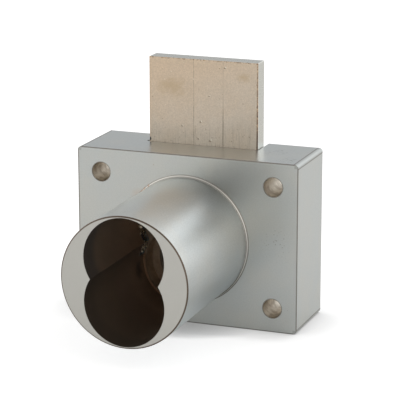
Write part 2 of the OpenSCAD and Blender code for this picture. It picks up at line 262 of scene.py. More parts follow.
class EffectShelf:
    """Holds the node groups that more than one finish uses, each built once."""

    def __init__(self) -> None:
        """Builds every group."""
        self.grain = self._group("satin_grain", self._grain, "Size", outputs=("Height", "Shade"))
        self.pits = self._group("plating_pits", self._pits, "Spacing", "Radius", "Share")
        self.box_edges = self._group("box_edges", self._box_edges, "Centre", "Half", "Width")
        self.bore = self._group("bore_wall", self._bore, "Centre", "Radius")
        self.drag = self._group("drag_marks", self._drag, "Spacing", "Length")
        self.cloud = self._group("cloudy_tint", self._cloud, "Size")
        self.patch = self._group("ragged_patch", self._patch, "Centre", "Reach", "Ragged",
                                 outputs=("Mask", "Soft"))

    @staticmethod
    def _group(name: str, build: GroupBody, *inputs: str,
               outputs: Sequence[str] = ("Mask",)) -> bpy.types.NodeTree:
        """Makes a node group.

        Args:
            name: the group's name.
            build: fills the group in and returns what its outputs give.
            inputs: names of its inputs after Vector.
            outputs: names of its outputs.

        Returns:
            The group's tree.
        """
        tree = bpy.data.node_groups.new(name, "ShaderNodeTree")
        titles = ("Vector", *inputs)
        for title in titles:
            kind = "NodeSocketVector" if title in VECTOR_INPUTS else "NodeSocketFloat"
            tree.interface.new_socket(name=title, in_out="INPUT", socket_type=kind)
        for title in outputs:
            tree.interface.new_socket(name=title, in_out="OUTPUT", socket_type="NodeSocketFloat")
        wires = Wiring(tree)
        source = tree.nodes.new("NodeGroupInput")
        sink = tree.nodes.new("NodeGroupOutput")
        results = build(wires, {title: source.outputs[title] for title in titles})
        for title, result in zip(outputs, results):
            wires.feed(sink.inputs[title], result)
        return tree

    @staticmethod
    def _grain(wires: Wiring, given: Given) -> Results:
        """Fine even grain of a blasted and plated face, of the given size.

        Args:
            wires: the group's wiring.
            given: its inputs by name.

        Returns:
            What its outputs give.
        """
        scale = wires.maths("DIVIDE", 1.0, given["Size"])
        fine = wires.noise(given["Vector"], scale)
        broad = wires.noise(given["Vector"], wires.times(scale, 0.12), 2.0, 0.5)
        return fine, wires.maths("ADD", wires.times(fine, 0.35), wires.times(broad, 0.65))

    @staticmethod
    def _pits(wires: Wiring, given: Given) -> Results:
        """Round pits at random places, of which only a share is open.

        Args:
            wires: the group's wiring.
            given: its inputs by name.

        Returns:
            What its outputs give.
        """
        cells = wires.add("TexVoronoi", given["Vector"], feature="F1")
        wires.feed(cells.inputs["Scale"], wires.maths("DIVIDE", 1.0, given["Spacing"]))
        chance, spread, _ = wires.split(cells.outputs["Color"])
        reach = wires.times(cells.outputs["Distance"], given["Spacing"])
        size = wires.times(given["Radius"], wires.maths("ADD", 0.5, spread))
        within = wires.maths("SUBTRACT", 1.0, wires.maths("DIVIDE", reach, size), clamp=True)
        is_open = wires.maths("LESS_THAN", chance, given["Share"])
        return (wires.times(wires.step(within, 0.0, 0.5), is_open),)

    @staticmethod
    def _box_edges(wires: Wiring, given: Given) -> Results:
        """Nearness to the twelve edges of a box, from its centre and half size.

        Args:
            wires: the group's wiring.
            given: its inputs by name.

        Returns:
            What its outputs give.
        """
        offset = wires.vector_maths("ABSOLUTE", wires.vector_maths(
            "SUBTRACT", given["Vector"], given["Centre"]))
        a, b, c = wires.split(wires.vector_maths("SUBTRACT", offset, given["Half"]))
        middle = wires.maths("MAXIMUM", wires.maths("MINIMUM", a, b), wires.maths(
            "MINIMUM", wires.maths("MAXIMUM", a, b), c))
        return (wires.maths("ADD", 1.0, wires.maths("DIVIDE", middle, given["Width"]), clamp=True),)

    @staticmethod
    def _bore(wires: Wiring, given: Given) -> Results:
        """1 on the wall of a bore that runs along Y.

        Args:
            wires: the group's wiring.
            given: its inputs by name.

        Returns:
            What its outputs give.
        """
        offset = wires.vector_maths("SUBTRACT", given["Vector"], given["Centre"])
        margin = wires.maths("SUBTRACT", given["Radius"], wires.from_axis(offset))
        return (wires.step(margin, -0.06 * MM, -0.02 * MM),)

    @staticmethod
    def _drag(wires: Wiring, given: Given) -> Results:
        """Upright scratches, spaced and as long as given.

        Args:
            wires: the group's wiring.
            given: its inputs by name.

        Returns:
            What its outputs give.
        """
        x, y, z = wires.split(given["Vector"])
        across = wires.maths("DIVIDE", wires.maths("ADD", x, y), given["Spacing"])
        along = wires.maths("DIVIDE", z, given["Length"])
        stretched = wires.add("CombineXYZ", across, 0.0, along).outputs[0]
        return (wires.step(wires.noise(stretched, 1.0, 3.0, 0.65), 0.52, 0.72),)

    @staticmethod
    def _cloud(wires: Wiring, given: Given) -> Results:
        """Soft uneven patches of the given size."""
        scale = wires.maths("DIVIDE", 1.0, given["Size"])
        return (wires.step(wires.noise(given["Vector"], scale, 4.0, 0.55), 0.35, 0.68),)

    @staticmethod
    def _patch(wires: Wiring, given: Given) -> Results:
        """An oval patch round a centre, edged or fading, broken as far as Ragged says.

        Args:
            wires: the group's wiring.
            given: its inputs by name.

        Returns:
            What its outputs give.
        """
        offset = wires.vector_maths("DIVIDE", wires.vector_maths(
            "SUBTRACT", given["Vector"], given["Centre"]), given["Reach"])
        length = wires.add("VectorMath", offset, operation="LENGTH").outputs["Value"]
        drift = wires.times(given["Ragged"], wires.maths(
            "SUBTRACT", wires.noise(offset, 2.2, 4.0, 0.6), 0.5))
        reach = wires.maths("ADD", length, drift)
        return wires.step(reach, 1.0, 0.7), wires.step(reach, 1.2, 0.1)


@dataclass(frozen=True)
class Spot:
    """An oval patch of a surface.

    Attributes:
        centre: where it lies.
        reach: how far it goes along X, Y and Z.
        ragged: how far its edge strays.
    """

    centre: Sequence[float]
    reach: Sequence[float]
    ragged: float = 1.0


@dataclass(frozen=True)
class Specks:
    """Specks or pits strewn over a surface.

    Attributes:
        spacing: how far apart they are.
        radius: their size.
        share: how many of their places are taken.
        strength: how much of the surface's own finish they hide.
        colour: their colour.
        roughness: their roughness.
        sink: their depth.
        flat: whether they are strewn as seen from in front, so that they stay round there.
    """

    spacing: float
    radius: float
    share: float
    strength: float
    colour: Colour
    roughness: float = 0.5
    sink: float = 0.0
    flat: bool = True


@dataclass(frozen=True)
class Finish:
    """A metal finish; its subclasses add what is special to a piece.

    Attributes:
        name: the material's name.
        colour: the metal's colour.
        tint: a second colour that the first drifts to in patches.
        roughness: how far reflections are blurred.
        tint_size: size of those patches.
        grain: size of the surface grain.
        grain_depth: its depth.
        mottle: how much its brightness varies from grain to grain.
        mottle_size: size of those grains.
    """

    name: str
    colour: Colour
    tint: Colour
    roughness: float = 0.3
    tint_size: float = 9.0 * MM
    grain: float = 0.12 * MM
    grain_depth: float = 0.004 * MM
    mottle: float = 0.035
    mottle_size: float = 0.33 * MM

    def make(self, shelf: EffectShelf) -> bpy.types.Material:
        """Builds the material.

        Args:
            shelf: the shared effects.

        Returns:
            The material.
        """
        material = bpy.data.materials.new(self.name)
        surface = Surface(Wiring.inside(material), shelf, self)
        self.dress(surface)
        surface.close()
        return material

    def dress(self, surface: Surface) -> None:
        """Adds what is special to this finish."""


class Surface:
    """The sockets that a finish gathers before its shader is made."""

    def __init__(self, wires: Wiring, shelf: EffectShelf, metal: Finish) -> None:
        """Starts with the plain metal, tinted, mottled and grained.

        Args:
            wires: the material's wiring.
            shelf: the shared effects.
            metal: the finish.
        """
        self.wires = wires
        self.shelf = shelf
        self.place = wires.add("TexCoord").outputs["Object"]
        grain = self.effect(shelf.grain, Size=metal.grain)
        tint = self.mask(shelf.cloud, Size=metal.tint_size)
        mottle = self.uneven(1.0 / metal.mottle_size, 0.34, 0.68, 1.0 - metal.mottle,
                             1.0 + 0.6 * metal.mottle)
        self.colour = wires.shaded(wires.blend(tint, metal.colour, metal.tint), mottle)
        self.roughness = wires.maths("ADD", metal.roughness - 0.05,
                                     wires.times(grain.outputs["Shade"], 0.1))
        self.height = wires.times(grain.outputs["Height"], metal.grain_depth)
        self.metallic: object = 1.0

    def effect(self, tree: bpy.types.NodeTree, **values: object) -> bpy.types.Node:
        """Places a shared effect.

        Args:
            tree: the effect's group.
            values: its inputs by name; Vector is the place unless given.

        Returns:
            The group node.
        """
        node = self.wires.add("Group", node_tree=tree)
        for name, value in {"Vector": self.place, **values}.items():
            self.wires.feed(node.inputs[name], value)
        return node

    def mask(self, tree: bpy.types.NodeTree, **values: object) -> Socket:
        """Places a shared effect and returns its mask."""
        return self.effect(tree, **values).outputs["Mask"]

    def spot(self, spot: Spot, edge: Edge = Edge.SOFT) -> Socket:
        """Returns the mask of a spot."""
        patch = self.effect(self.shelf.patch, Centre=spot.centre, Reach=spot.reach, Ragged=spot.ragged)
        return patch.outputs[edge.value]

    def uneven(self, scale: float, low: float, high: float, to_low: float = 0.0,
               to_high: float = 1.0, **noise_settings: float) -> Socket:
        """Steps noise between two levels.

        Args:
            scale: the noise's scale.
            low: where the change starts.
            high: where it ends.
            to_low: the result at low.
            to_high: the result at high.
            noise_settings: the noise's detail and roughness, where they differ from the usual.

        Returns:
            The stepped noise.
        """
        rough = self.wires.noise(self.place, scale, **noise_settings)
        return self.wires.step(rough, low, high, to_low, to_high)

    def strew(self, specks: Specks, *where: object) -> None:
        """Strews specks over this finish.

        Args:
            specks: the specks.
            where: masks whose product is 1 where they lie.
        """
        wires = self.wires
        spread = wires.vector_maths("MULTIPLY", self.place, (1, 0, 1)) if specks.flat else self.place
        mask = self.mask(self.shelf.pits, Vector=spread, Spacing=specks.spacing, Radius=specks.radius,
                         Share=specks.share)
        self.cover((mask, *where, specks.strength), specks.colour, specks.roughness, sink=specks.sink)

    def cover(self, mask: object, colour: object, roughness: float | None = None,
              metallic: float | None = None, sink: float = 0.0) -> None:
        """Lays another finish over this one.

        Args:
            mask: 1 where it lies, or several masks whose product is.
            colour: its colour.
            roughness: its roughness.
            metallic: how metallic it is.
            sink: how deep it lies below the surface.
        """
        wires = self.wires
        if isinstance(mask, tuple):
            mask = wires.times(*mask)
        self.colour = wires.blend(mask, self.colour, colour)
        if roughness is not None:
            self.roughness = self._toward(mask, self.roughness, roughness)
        if metallic is not None:
            self.metallic = self._toward(mask, self.metallic, metallic)
        if sink:
            self.height = wires.maths("SUBTRACT", self.height, wires.times(mask, sink))

    def _toward(self, mask: object, value: object, goal: float) -> Socket:
        """Moves a value to a goal where the mask is 1."""
        wires = self.wires
        return wires.maths("ADD", wires.times(value, wires.less(mask)), wires.times(mask, goal))

    def close(self) -> None:
        """Makes the shader and the material's output."""
        wires = self.wires
        bump = wires.add("Bump", 1.0, 1.0)
        wires.feed(bump.inputs["Height"], self.height)
        shader = wires.add("BsdfPrincipled", self.colour, self.metallic, self.roughness)
        wires.feed(shader.inputs["Normal"], bump.outputs["Normal"])
        wires.add("OutputMaterial", shader.outputs["BSDF"])


@dataclass(frozen=True)
class CasePlating(Finish):
    """Satin chrome of the case, bare in its four mounting holes.

    Attributes:
        low: the case's lowest corner.
        high: its highest corner.
        holes: centres of the mounting holes.
        hole_radius: their radius.
        corner: radius of the case's rounded corners.
        rust: brown specks, and rust_area, where they lie.
        dirt: a dense group of dark specks, and dirt_area, where it lies.
        pits: single pits, all over the front.
        haze: a faint brown patch beside the barrel.
        scuffs: X and Y of the scuffed places on top.
    """

    low: Vector = Vector((-0.026, 0.0, -0.019))
    high: Vector = Vector((0.026, 0.0175, 0.019))
    holes: tuple[Vector, ...] = ()
    hole_radius: float = 2.18 * MM
    corner: float = 1.0 * MM
    rust: Specks = Specks(1.1 * MM, 0.13 * MM, 0.4, 0.7, (0.34, 0.22, 0.15), sink=0.015 * MM)
    rust_area: Spot = Spot((-9 * MM, 0, 14 * MM), (11 * MM, 1 * MM, 4.5 * MM))
    dirt: Specks = Specks(0.40 * MM, 0.09 * MM, 0.55, 0.8, (0.20, 0.18, 0.15), sink=0.02 * MM)
    dirt_area: Spot = Spot((21.2 * MM, 0, 1.2 * MM), (4.0 * MM, 1 * MM, 4.2 * MM), 1.2)
    pits: Specks = Specks(1.7 * MM, 0.10 * MM, 0.14, 0.5, (0.24, 0.22, 0.19), sink=0.015 * MM)
    haze: Spot = Spot((-11.2 * MM, 0, 9.4 * MM), (2.2 * MM, 1 * MM, 1.5 * MM), 0.7)
    scuffs: tuple[tuple[float, float], ...] = ((18.0 * MM, 10.0 * MM), (22.5 * MM, 3.0 * MM))

    def dress(self, surface: Surface) -> None:
        """Wears the edges, the front, the corners and the top, and bares the holes.

        Args:
            surface: the surface that it dresses.
        """
        x, y, z = surface.wires.split(surface.place)
        in_front = surface.wires.step(y, 0.21 * MM, 0.13 * MM)
        self._edges(surface, in_front, x)
        self._front(surface, in_front)
        self._corners(surface, x, z)
        self._top(surface, z)
        self._holes(surface, y)

    def _edges(self, surface: Surface, in_front: Socket, x: Socket) -> None:
        """Draws dark lines along the edges, strong in front and faint elsewhere.

        Args:
            surface: the surface that it dresses.
            in_front: mask of the case's front.
            x: X on the surface.
        """
        wires = surface.wires
        near = surface.mask(surface.shelf.box_edges, Centre=(self.low + self.high) / 2,
                            Half=(self.high - self.low) / 2, Width=0.33 * MM)
        surface.cover((wires.step(near, 0.15, 0.45), in_front, 0.73), (0.105, 0.085, 0.07), 0.4)
        surface.cover((wires.step(near, 0.5, 0.8), wires.less(in_front), 0.3), (0.22, 0.20, 0.17), 0.35)
        left_line = wires.past(x, self.low.x, 0.40, 0.26)
        surface.cover((left_line, in_front, 0.6), (0.13, 0.10, 0.08), 0.4)

    def _front(self, surface: Surface, in_front: Socket) -> None:
        """Strews rust, dirt and pits over the front, and adds its haze.

        Args:
            surface: the surface that it dresses.
            in_front: mask of the case's front.
        """
        surface.strew(self.rust, surface.spot(self.rust_area), in_front)
        surface.strew(self.dirt, surface.spot(self.dirt_area), in_front)
        surface.strew(self.pits, in_front)
        haze = surface.wires.times(surface.spot(self.haze), in_front, 0.4)
        surface.cover(haze, (0.58, 0.47, 0.385))

    def _corners(self, surface: Surface, x: Socket, z: Socket) -> None:
        """Dulls the rounded corners and draws the dark seams along their sides.

        Args:
            surface: the surface that it dresses.
            x: X on the surface.
            z: Z on the surface.
        """
        wires = surface.wires
        side, end = wires.maths("ABSOLUTE", x), wires.maths("ABSOLUTE", z)
        start = self.high - Vector((self.corner, 0.0, self.corner))
        rounded = wires.times(wires.past(side, start.x, -0.02, 0.2),
                              wires.past(end, start.z, -0.02, 0.2), 0.7)
        surface.cover(rounded, (0.36, 0.37, 0.36), 0.38)
        for here, line, across, face in ((side, start.x, end, self.high.z),
                                         (end, start.z, side, self.high.x)):
            seam = wires.step(wires.apart(here, line), 0.20 * MM, 0.07 * MM)
            surface.cover((seam, wires.past(across, face, -0.1, 0.0), 0.75), (0.19, 0.17, 0.15), 0.4)

    def _top(self, surface: Surface, z: Socket) -> None:
        """Scuffs the top.

        Args:
            surface: the surface that it dresses.
            z: Z on the surface.
        """
        wires = surface.wires
        strokes = surface.mask(surface.shelf.drag, Vector=wires.turned(surface.place, 1.25),
                               Spacing=0.34 * MM, Length=1.7 * MM)
        on_top = wires.past(z, self.high.z, -0.1, -0.05)
        for right, behind in self.scuffs:
            area = surface.spot(Spot((right, behind, self.high.z), (3.6 * MM, 3.4 * MM, 1 * MM)))
            surface.cover((on_top, strokes, area, 0.9), (0.17, 0.17, 0.155), 0.42)

    def _holes(self, surface: Surface, y: Socket) -> None:
        """Bares the rough nickel in the holes and darkens the lips round them.

        Args:
            surface: the surface that it dresses.
            y: Y on the surface.
        """
        wires, bore = surface.wires, surface.shelf.bore
        uneven = surface.uneven(620.0, 0.36, 0.60, detail=4.0, roughness=0.6)
        nickel = wires.blend(uneven, (0.52, 0.45, 0.37), (0.76, 0.70, 0.61))
        deep = wires.step(y, 0.10 * MM, 0.18 * MM)
        for centre in self.holes:
            lip = surface.mask(bore, Centre=centre, Radius=self.hole_radius + 0.10 * MM)
            surface.cover((lip, 0.7), (0.14, 0.115, 0.09), 0.45)
            wall = surface.mask(bore, Centre=centre, Radius=self.hole_radius)
            surface.cover((wall, deep), nickel, 0.40)


@dataclass(frozen=True)
class BarrelPlating(Finish):
    """Satin chrome of the barrel, brown and bare inside its socket.

    Attributes:
        mouth: Y of the barrel's mouth.
        radius: the barrel's radius.
        collar: height of the chamfered collar at its foot.
        lobe_radius: radius of each lobe of the socket.
        lobe_offset: distance of each lobe's axis from the barrel's.
        lobe_end: Y where the lobes end.
        plated: how far the plating reaches into the socket.
        level: Y where the socket's brown is as written; it is darker before and paler beyond.
        paling: how fast that goes in the upper and in the lower lobe, per metre.
        palest: the most that it comes to in each.
        pits: single pits, all over the barrel.
        grime: black specks in the socket.
        nick: where the collar is chipped.
        lower_dark_patch: a dark patch in the lower lobe.
        recess: the torn wall of the recess for the core's lug.
    """

    mouth: float = -35.3 * MM
    radius: float = 14.29 * MM
    collar: float = 0.52 * MM
    lobe_radius: float = 9.03 * MM
    lobe_offset: float = 4.86 * MM
    lobe_end: float = -3.0 * MM
    plated: float = 5.1 * MM
    level: float = -21.5 * MM
    paling: tuple[float, float] = (58.0, 76.0)
    palest: tuple[float, float] = (1.6, 2.4)
    pits: Specks = Specks(1.8 * MM, 0.08 * MM, 0.08, 0.8, (0.26, 0.24, 0.21), sink=0.015 * MM,
                          flat=False)
    grime: Specks = Specks(1.3 * MM, 0.12 * MM, 0.18, 0.8, (0.08, 0.06, 0.05), 0.6, flat=False)
    nick: Spot = Spot((-9.9 * MM, -0.2 * MM, 11.1 * MM), (1.6 * MM, 2 * MM, 1.6 * MM), 0.6)
    lower_dark_patch: Spot = Spot((-9.0 * MM, -6.0 * MM, -6.4 * MM), (1.6 * MM, 2.2 * MM, 2.2 * MM), 0.9)
    recess: Spot = Spot((-10.2 * MM, -4.2 * MM, 1.35 * MM), (1.45 * MM, 1.9 * MM, 5.2 * MM), 0.0)

    def dress(self, surface: Surface) -> None:
        """Adds the rim's dark line, painted cool light below, painted light and shade on the collar,
        and the socket's brown walls.

        Args:
            surface: the surface that it dresses.
        """
        wires = surface.wires
        x, y, z = wires.split(surface.place)
        radial = wires.from_axis(surface.place)
        at_mouth = wires.past(y, self.mouth, 0.26, 0.2)
        surface.cover((at_mouth, 0.9), (0.535, 0.527, 0.503))
        # Painted cool light: below its axis and back from the mouth, the barrel is tinted bluish as the
        # cooler light from below and behind would show it.
        painted_cool_underside = wires.times(wires.step(z, 3 * MM, -8 * MM), wires.less(at_mouth), 0.6)
        surface.cover(painted_cool_underside, (0.515, 0.575, 0.61))
        rim = wires.times(wires.past(radial, self.radius, -0.36, -0.22), at_mouth)
        surface.cover(rim, (0.13, 0.10, 0.08), 0.45)
        self._collar(surface, radial, x, y)
        surface.strew(self.pits)
        bores = [surface.mask(surface.shelf.bore, Centre=(0, 0, side * self.lobe_offset),
                              Radius=self.lobe_radius) for side in (-1, 1)]
        inside = wires.times(wires.maths("MAXIMUM", *bores), wires.past(y, self.mouth, 0.02, 0.05))
        self._socket(surface, inside, y, z)
        self._socket_end(surface, inside, y)

    def _collar(self, surface: Surface, radial: Socket, x: Socket, y: Socket) -> None:
        """Paints light and shade on the collar: a pale highlight line between two dark lines of shade,
        darker on the right, with coppery nicks.

        Args:
            surface: the surface that it dresses.
            radial: distance from the barrel's axis.
            x: X on the surface.
            y: Y on the surface.
        """
        wires = surface.wires
        on_collar = wires.times(wires.past(y, -self.collar, -0.06, 0.02),
                                wires.past(radial, self.radius, 0.0, 0.04))
        # Painted shade: the collar is darker on its right side.
        at_right = wires.step(x, 0.0, 9 * MM)
        surface.cover(on_collar, wires.blend(at_right, (0.40, 0.39, 0.37), (0.21, 0.20, 0.185)), 0.42)
        # Painted highlight: a pale line round the middle of the collar, left between two darker lines
        # of painted shade.
        middle = wires.step(wires.apart(radial, self.radius + 0.27 * MM), 0.115 * MM, 0.03 * MM)
        surface.cover((on_collar, middle),
                      wires.blend(at_right, (0.78, 0.77, 0.75), (0.52, 0.515, 0.495)), 0.34)
        chips = surface.uneven(1100.0, 0.44, 0.54)
        surface.cover((on_collar, surface.spot(self.nick, Edge.SHARP), chips),
                      (0.50, 0.29, 0.18), 0.5, sink=0.03 * MM)

    def _socket(self, surface: Surface, inside: Socket, y: Socket, z: Socket) -> None:
        """Colours the lobes: grey at the mouth, brown and paler further in, darker below, with painted
        shade under the ridge between them.

        Args:
            surface: the surface that it dresses.
            inside: mask of the socket's walls.
            y: Y on the surface.
            z: Z on the surface.
        """
        wires = surface.wires
        cloud = surface.mask(surface.shelf.cloud, Size=5 * MM)
        brown = wires.blend(cloud, (0.240, 0.175, 0.126), (0.262, 0.192, 0.138))
        surface.cover(inside, brown, 0.6, 0.45)
        plated = self.mouth + self.plated
        near_mouth = wires.past(y, plated, 1.8, -1.8)
        surface.cover((inside, near_mouth), (0.150, 0.127, 0.113), 0.55, 0.55)
        lower = wires.step(z, 0.06 * MM, -0.06 * MM)
        surface.cover((inside, lower, 0.8), (0.175, 0.127, 0.092), 0.6)
        # Painted shade: the lower lobe darkens towards the ridge where the two lobes meet, as under an
        # overhang.
        shade_under_ridge = wires.times(lower, wires.step(z, -7 * MM, 0.0, 0.0, 0.6))
        surface.cover((inside, shade_under_ridge), (0.085, 0.065, 0.05), 0.6)
        paling = wires.times(wires.step(lower, 0.0, 1.0, *self.paling),
                             wires.maths("SUBTRACT", y, self.level))
        factor = wires.maths("MINIMUM", wires.maths("EXPONENT", paling),
                             wires.step(lower, 0.0, 1.0, *self.palest))
        surface.colour = wires.shaded(surface.colour, factor, inside)
        surface.strew(self.grime, inside)

    def _socket_end(self, surface: Surface, inside: Socket, y: Socket) -> None:
        """Bares the metal behind the lobes, with a painted orange highlight on the edge where they end,
        a dark patch in the lower lobe, and the recess.

        Args:
            surface: the surface that it dresses.
            inside: mask of the socket's walls.
            y: Y on the surface.
        """
        wires = surface.wires
        beyond = wires.times(inside, wires.past(y, self.lobe_end, -0.05, 0.15))
        worn = wires.blend(surface.uneven(420.0, 0.3, 0.7, roughness=0.6),
                           (0.47, 0.355, 0.255), (0.60, 0.485, 0.37))
        surface.cover(beyond, worn, 0.45, 0.7)
        # Painted highlight: an orange line on the edge of the shoulder where the lobes end.
        line = wires.step(wires.apart(y, self.lobe_end), 0.16 * MM, 0.08 * MM)
        surface.cover((inside, line, 0.5), (0.62, 0.40, 0.24), 0.4, 0.8)
        # A dark patch on the lower lobe's wall.
        surface.cover((inside, surface.spot(self.lower_dark_patch), 0.6), (0.07, 0.06, 0.055), 0.6)
        torn = wires.blend(surface.uneven(1500.0, 0.42, 0.62, detail=4.0, roughness=0.75),
                           (0.05, 0.05, 0.05), (0.42, 0.41, 0.38))
        surface.cover((inside, surface.spot(self.recess, Edge.SHARP)), torn, 0.35, 0.9)


@dataclass(frozen=True)
class BoltNickel(Finish):
    """Worn nickel of the bolt: tan and dull in front, smooth and pale at its sides and top.

    Attributes:
        low: the bolt's lowest corner.
        high: its highest corner.
        case_top: Z of the case's top face, with the bolt thrown.
        sparks: bright specks in its front, and spark_area, where they lie.
        pits: fine pits and larger ones, all over its front.
        grit: specks beside the drag marks.
        seams: place across the front, half width, and strength above and below, of each.
        stains: X, Z and size of the brown stains on its front.
        dents: X, Z and size of the sharp dents in its front.
    """

    low: Vector = Vector((-0.013, 0.0101, 0.0))
    high: Vector = Vector((0.013, 0.0143, 0.0388))
    case_top: float = 19.25 * MM
    sparks: Specks = Specks(0.75 * MM, 0.10 * MM, 0.35, 0.9, (0.86, 0.80, 0.71), 0.45)
    spark_area: Spot = Spot((-6 * MM, 10.1 * MM, 33 * MM), (13 * MM, 1 * MM, 9 * MM), 1.4)
    pits: tuple[Specks, ...] = (
        Specks(0.8 * MM, 0.10 * MM, 0.16, 0.7, (0.30, 0.22, 0.15), 0.6, 0.03 * MM),
        Specks(2.3 * MM, 0.16 * MM, 0.26, 0.7, (0.30, 0.22, 0.15), 0.6, 0.03 * MM))
    grit: Specks = Specks(0.46 * MM, 0.10 * MM, 0.45, 0.75, (0.27, 0.215, 0.16), 0.55)
    seams: tuple[tuple[float, float, float, float], ...] = (
        (0.412, 0.10 * MM, 0.40, 0.70), (0.683, 0.15 * MM, 0.14, 0.90))
    stains: tuple[Vector, ...] = (Vector((-7.2, 32.2, 4.2)) * MM, Vector((9.9, 35.3, 1.9)) * MM)
    dents: tuple[Vector, ...] = (
        Vector((-0.4, 24.6, 0.27)) * MM, Vector((1.9, 20.4, 0.36)) * MM,
        Vector((-0.9, 20.7, 0.24)) * MM, Vector((-4.8, 23.4, 0.22)) * MM,
        Vector((1.7, 30.6, 0.20)) * MM, Vector((5.4, 37.2, 0.24)) * MM)

    def dress(self, surface: Surface) -> None:
        """Adds the front's skin, its seams, pits, dents with painted highlights, drag marks, and burred
        edges with a painted highlight and painted shade.

        Args:
            surface: the surface that it dresses.
        """
        wires = surface.wires
        x, y, z = wires.split(surface.place)
        front = wires.past(y, self.low.y, 0.14, 0.05)
        self._skin(surface, front, x, z)
        self._seams(surface, front, x, z)
        self._damage(surface, front)
        self._drag(surface, front, x, z)
        self._burrs(surface, x, y, z)

    def _skin(self, surface: Surface, front: Socket, x: Socket, z: Socket) -> None:
        """Colours the front: brown towards the top, greyer below, with sparks and stains.

        Args:
            surface: the surface that it dresses.
            front: mask of the bolt's front.
            x: X on the surface.
            z: Z on the surface.
        """
        wires = surface.wires
        slope = wires.maths("SUBTRACT", z, wires.times(x, 0.4))
        upper = wires.step(slope, 23 * MM, 41 * MM)
        skin = wires.blend(upper, (0.655, 0.58, 0.50), (0.68, 0.55, 0.425))
        cloud = surface.mask(surface.shelf.cloud, Size=4.5 * MM)
        skin = wires.blend(wires.times(cloud, 0.5), skin, (0.64, 0.53, 0.42))
        mottle = surface.uneven(3200.0, 0.34, 0.70, 0.90, 1.06, roughness=0.75)
        surface.cover(front, wires.shaded(skin, mottle), 0.50)
        surface.strew(self.sparks, front, surface.spot(self.spark_area))
        for right, up, size in self.stains:
            stain = surface.spot(Spot((right, self.low.y, up), (size, 1 * MM, size * 0.62), 1.9))
            surface.cover((front, stain, 0.55), (0.52, 0.40, 0.26), 0.52)

    def _seams(self, surface: Surface, front: Socket, x: Socket, z: Socket) -> None:
        """Draws the two upright seams, fainter above, the right one most of all.

        Args:
            surface: the surface that it dresses.
            front: mask of the bolt's front.
            x: X on the surface.
            z: Z on the surface.
        """
        wires = surface.wires
        lower = wires.past(z, self.case_top, 14, 1)
        worn = surface.uneven(700.0, 0.38, 0.60, 0.55, 1.0)
        for share, half, above, below in self.seams:
            off = wires.apart(x, self.low.x + share * (self.high.x - self.low.x))
            seam = wires.times(wires.step(off, half, half * 0.3), front,
                               wires.step(lower, 0.0, 1.0, above, below), worn)
            surface.cover(seam, (0.19, 0.155, 0.12), 0.6, sink=0.02 * MM)

    def _damage(self, surface: Surface, front: Socket) -> None:
        """Adds pits, and a few sharp dents, each with a painted highlight on its upper right rim.

        Args:
            surface: the surface that it dresses.
            front: mask of the bolt's front.
        """
        for pits in self.pits:
            surface.strew(pits, front)
        for right, up, size in self.dents:
            place = Vector((right, self.low.y, up))
            dent = surface.spot(Spot(place, (size, 1 * MM, size * 0.7), 1.2), Edge.SHARP)
            surface.cover((front, dent, 0.85), (0.22, 0.16, 0.11), 0.40, sink=0.16 * MM)
            # Painted highlight: a bright patch above and right of each dent, where its rim would catch
            # the light.
            rim = surface.spot(Spot(place + Vector((0.8, 0, 0.7)) * size,
                                    (size * 0.7, 1 * MM, size * 0.8)), Edge.SHARP)
            surface.cover((front, rim, 0.8), (0.90, 0.85, 0.76), 0.35)

    def _drag(self, surface: Surface, front: Socket, x: Socket, z: Socket) -> None:
        """Adds the grey marks and the grit that the slot left over the foot.

        Args:
            surface: the surface that it dresses.
            front: mask of the bolt's front.
            x: X on the surface.
            z: Z on the surface.
        """
        wires = surface.wires
        reach = wires.step(x, 0.0, 11 * MM, 5.0 * MM, 8.5 * MM)
        above = wires.maths("SUBTRACT", z, self.case_top)
        foot = wires.maths("SUBTRACT", 1.0, wires.maths("DIVIDE", above, reach), clamp=True)
        surface.cover((foot, front, 0.45), (0.41, 0.38, 0.335), 0.45)
        surface.strew(self.grit, wires.step(foot, 0.1, 0.7), front)
        strokes = surface.mask(surface.shelf.drag, Spacing=0.22 * MM, Length=5 * MM)
        surface.cover((strokes, foot, front, 0.9), (0.24, 0.21, 0.18), 0.5, sink=0.01 * MM)

    def _burrs(self, surface: Surface, x: Socket, y: Socket, z: Socket) -> None:
        """Breaks the front's edges with black, brown and orange specks, worst at the right foot, and
        paints a highlight along the right side and a spot of shade at the left foot.

        Args:
            surface: the surface that it dresses.
            x: X on the surface.
            y: Y on the surface.
            z: Z on the surface.
        """
        wires = surface.wires
        rough = wires.noise(surface.place, 2500.0, 2.0, 0.8)
        specks = wires.blend(wires.step(rough, 0.36, 0.48), (0.03, 0.022, 0.018), (0.25, 0.145, 0.085))
        specks = wires.blend(wires.step(rough, 0.52, 0.62), specks, (0.62, 0.44, 0.28))
        at_front = wires.past(y, self.low.y, 0.22, 0.12)
        foot = wires.step(z, self.high.z - 1 * MM, self.case_top, 0.62, 0.95)
        right = wires.past(x, self.high.x, -0.34, -0.24)
        near_case = wires.past(z, self.case_top, 7, 2)
        dark = wires.blend(wires.times(near_case, 0.85), specks, (0.075, 0.05, 0.04))
        surface.cover((right, at_front, foot), dark, 0.5, sink=0.04 * MM)
        # Painted highlight: a cream line on the right side just behind the front edge, where its
        # chamfer would catch the light.
        beside = wires.times(wires.past(x, self.high.x, -0.10, -0.03),
                             wires.past(y, self.low.y, 0.55, 0.30))
        surface.cover((beside, wires.less(at_front), 0.6), (0.93, 0.86, 0.76), 0.30)
        left = wires.past(x, self.low.x, 0.30, 0.16)
        surface.cover((left, at_front, 0.6), (0.46, 0.31, 0.19), 0.5)
